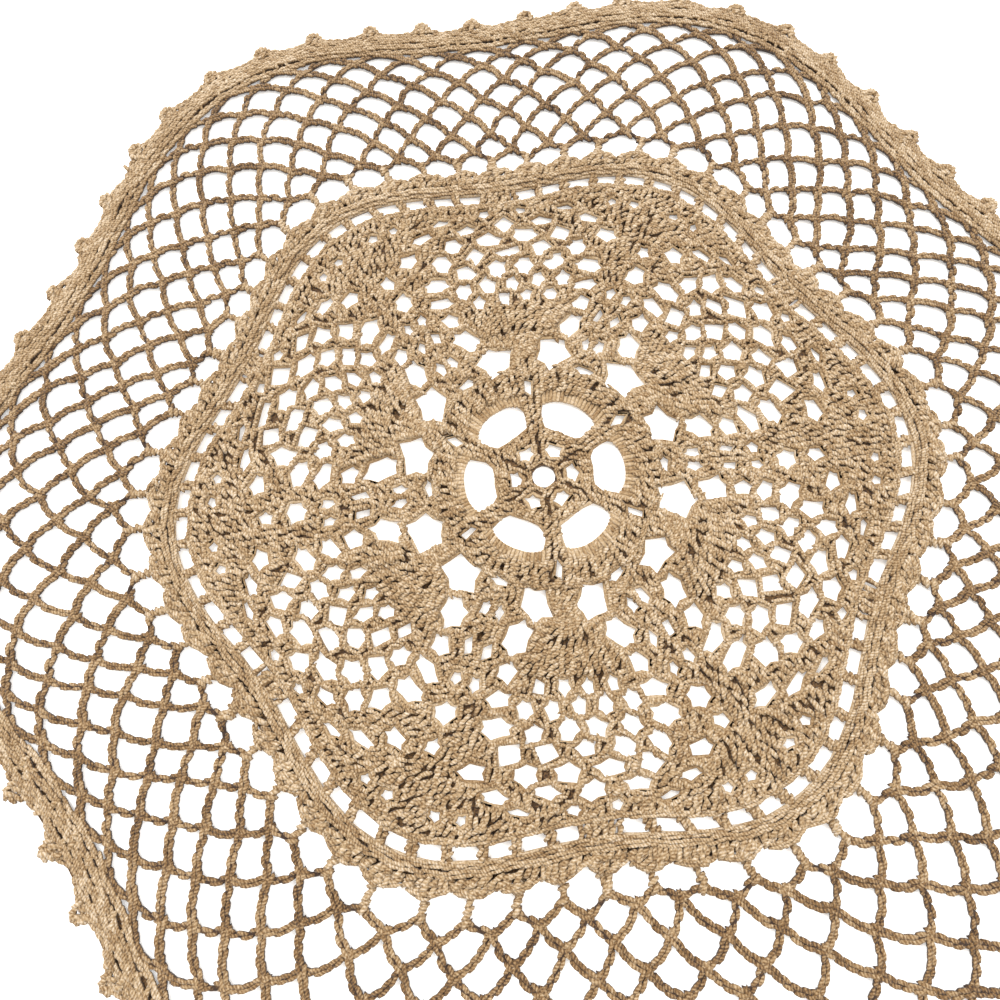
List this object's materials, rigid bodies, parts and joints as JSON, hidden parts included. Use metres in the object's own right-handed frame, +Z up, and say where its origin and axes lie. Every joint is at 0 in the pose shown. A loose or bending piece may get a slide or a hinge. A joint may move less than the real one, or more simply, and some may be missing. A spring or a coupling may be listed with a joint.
{
  "type": "lace doily",
  "caption": "Round crocheted lace doily in tan cotton, with a lobed pineapple medallion, an open net round it and a picot edge, lying flat.",
  "frame": {"origin": "middle of the rosette, on the plane of the flat underside", "axes": "+Z up out of the lace's upper side, +Y along the axis of one of the pineapples"},
  "size_m": [0.2818, 0.2621, 0.003],
  "materials": {
    "cotton_thread": "matte twisted cotton, tan"
  },
  "bodies": {
    "root": {"doily": "cotton_thread"}
  },
  "joints": []
}
